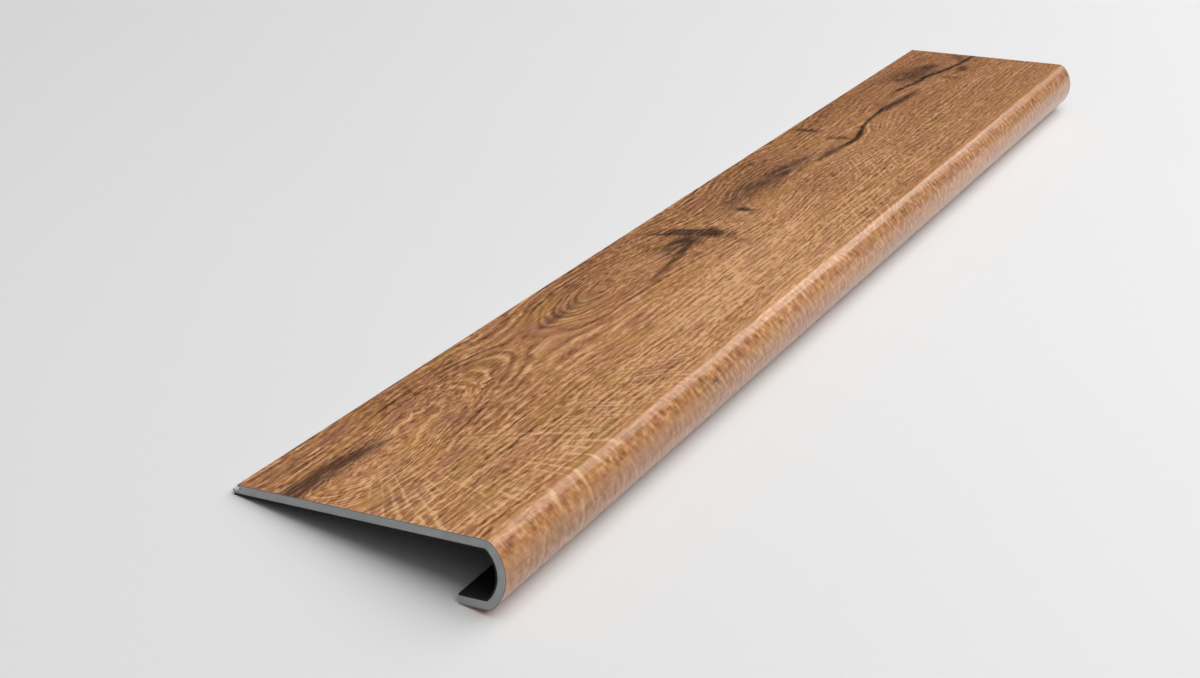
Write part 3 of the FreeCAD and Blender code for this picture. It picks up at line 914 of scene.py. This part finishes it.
def rounded(corner, before, after, radius, steps=4):
    """Points of an arc that rounds a corner of an outline."""
    corner, before, after = Vector(corner), Vector(before), Vector(after)
    to_before = (before - corner).normalized()
    to_after = (after - corner).normalized()
    half = math.acos(max(-1, min(1, to_before.dot(to_after)))) / 2
    tangent = radius / math.tan(half)
    centre = corner + (to_before + to_after).normalized() * radius / math.sin(half)
    start = corner + to_before * tangent - centre
    end = corner + to_after * tangent - centre
    sweep = math.atan2(start.x * end.y - start.y * end.x, start.dot(end))
    points = []
    for step in range(steps + 1):
        angle = sweep * step / steps
        turned = Vector((start.x * math.cos(angle) - start.y * math.sin(angle),
                         start.x * math.sin(angle) + start.y * math.cos(angle)))
        points.append(tuple(centre + turned))
    return points


def joint_profile():
    """Back edge of the core from its heel round the hook and the groove to the upper lip."""
    ceiling = WEAR_THICK + UPPER_LIP_BACKING
    groove_floor = CORE_BOTTOM - LOWER_LIP_THICK
    hook_top = groove_floor - HOOK_RISE
    hook_inner = TONGUE_REACH - HOOK_WIDTH
    heel = (-HEEL, CORE_BOTTOM)
    hook_back = (-TONGUE_REACH, hook_top)
    hook_front = (-hook_inner, hook_top)
    hook_foot = (HOOK_LEAN - hook_inner, groove_floor)
    groove_low = (GROOVE_DEPTH, groove_floor)
    groove_high = (GROOVE_DEPTH, ceiling + GROOVE_CEILING_DROP)
    lip_low = (0, ceiling)
    return [
        heel,
        *rounded(hook_back, heel, hook_front, HOOK_ROUND),
        *rounded(hook_front, hook_back, hook_foot, HOOK_ROUND),
        *rounded(hook_foot, hook_front, groove_low, GROOVE_ROUND),
        *rounded(groove_low, hook_foot, groove_high, GROOVE_ROUND),
        *rounded(groove_high, groove_low, lip_low, GROOVE_ROUND),
        lip_low,
        (0, WEAR_THICK),
    ]


def finish_layer(piece, node_name):
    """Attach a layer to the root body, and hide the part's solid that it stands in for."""
    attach(piece, "root")
    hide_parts(node_name)


def make_layers():
    """The wear layer, the core and the underlay, each bent from its flat sheet."""
    tree = bending_tree()
    face_lines = 250
    face_stations = 378
    face_rungs = [LIP_END * line / (face_lines - 1) for line in range(face_lines)]
    wear = flat_layer("oak_print_wear_layer", face_rungs, 0, WEAR_THICK, stations=face_stations)
    bend_layer(wear, tree, print_material())
    finish_layer(wear, "wear_layer")
    nose_rungs = arc_rungs(bend_steps=14, crown_steps=30)
    behind_groove = GROOVE_DEPTH + 1
    core_rungs = [behind_groove, *nose_rungs]
    core = flat_layer("rigid_board_core", core_rungs, WEAR_THICK, CORE_BOTTOM, joint_profile())
    bend_layer(core, tree, core_material())
    finish_layer(core, "rigid_core")
    foam = flat_layer("foam_lining", [-HEEL, *nose_rungs], CORE_BOTTOM, UNDERSIDE)
    bend_layer(foam, tree, foam_material())
    finish_layer(foam, "foam_underlay")


# The photograph's frame, focal length and vanishing points, in its pixels
PHOTO_WIDTH = 1200
PHOTO_HEIGHT = 678
FOCAL_LENGTH = 2044.12
LENGTH_VANISHES = (1664.55, -435.00)
DEPTH_VANISHES = (-3882.06, -427.12)

# Camera from the near back corner of the top face, in millimetres along the board, across it and up
CAMERA_FROM_CORNER = Vector((-846.5, -638.66, 480.2))


def photo_ray(pixel):
    """Direction in which the camera sees a pixel of the photograph."""
    right = (pixel[0] - PHOTO_WIDTH / 2) / FOCAL_LENGTH
    down = (pixel[1] - PHOTO_HEIGHT / 2) / FOCAL_LENGTH
    return Vector((right, -down, -1)).normalized()


def make_camera():
    """Camera that sees the board as the photograph does."""
    lengthwise = photo_ray(LENGTH_VANISHES)
    upwards = lengthwise.cross(photo_ray(DEPTH_VANISHES)).normalized()
    backwards = upwards.cross(lengthwise)
    lay_down = Matrix.Rotation(-tilt, 3, "X")
    turn = lay_down @ Matrix((lengthwise, backwards, upwards))
    corner = Vector((near_end, joint_edge_y, joint_edge_z))
    data = bpy.data.cameras.new("photograph view")
    data.sensor_width = 36
    data.lens = data.sensor_width * FOCAL_LENGTH / PHOTO_WIDTH
    camera = bpy.data.objects.new("photograph view", data)
    camera.matrix_world = Matrix.Translation(corner + lay_down @ CAMERA_FROM_CORNER * MM) @ turn.to_4x4()
    bpy.context.scene.collection.objects.link(camera)
    bpy.context.scene.camera = camera


def make_floor():
    """Wide floor that the tread lies on."""
    half = 60
    mesh = bpy.data.meshes.new("studio floor")
    corners = [(-half, -half, 0), (half, -half, 0), (half, half, 0), (-half, half, 0)]
    mesh.from_pydata(corners, [], [(0, 1, 2, 3)])
    mesh.materials.append(floor_material())
    floor = bpy.data.objects.new("studio_floor", mesh)
    bpy.context.scene.collection.objects.link(floor)


# Studio sky: the way to its brightest part, and how it dims away from there
SKY_MIDDLE = (-0.35, -0.1, 0.93)
SKY_DIMS = {"From Min": 0.45, "From Max": 0.98, "To Min": 0.03, "To Max": 0.66}

# On the nose's side the far floor goes over into the dim studio without a hard line
HAZE_FADES = {"From Max": 0.2, "To Min": 0.55, "To Max": 0}
NOSE_SIDE = {"From Min": -0.15, "From Max": 0, **FALLING}


def make_light():
    """Plain soft studio light: a sky that is bright overhead, and ceiling banks that face straight down."""
    world = bpy.data.worlds.new("bright studio")
    world.use_nodes = True
    tree = world.node_tree
    tree.nodes.clear()
    direction = node(tree, "ShaderNodeTexCoord", output="Generated")
    towards = node(tree, VECTOR, {0: direction, 1: SKY_MIDDLE}, output="Value", operation="DOT_PRODUCT")
    sky = node(tree, RANGE, {"Value": towards, **SKY_DIMS})
    height = node(tree, SPLIT, {0: direction}, output="Z")
    haze = node(tree, RANGE, {"Value": height, **HAZE_FADES}, interpolation_type="SMOOTHSTEP")
    aside = node(tree, SPLIT, {0: direction}, output="Y")
    before_nose = node(tree, RANGE, {"Value": aside, **NOSE_SIDE})
    strength = node(tree, MATH, {0: haze, 1: before_nose, 2: sky}, operation="MULTIPLY_ADD")
    background = node(tree, "ShaderNodeBackground", {"Color": linear("#f7f7f7"), "Strength": strength})
    node(tree, "ShaderNodeOutputWorld", {"Surface": background})
    bpy.context.scene.world = world
    for name, place, (length, width), watts in CEILING_BANKS:
        data = bpy.data.lights.new(name, "AREA")
        data.shape = "RECTANGLE"
        data.size = length
        data.size_y = width
        data.energy = watts
        bank = bpy.data.objects.new(name, data)
        bank.location = place
        bank.visible_camera = False
        bpy.context.scene.collection.objects.link(bank)
    bpy.context.scene.view_settings.view_transform = "Standard"


make_layers()
make_floor()
make_light()
make_camera()
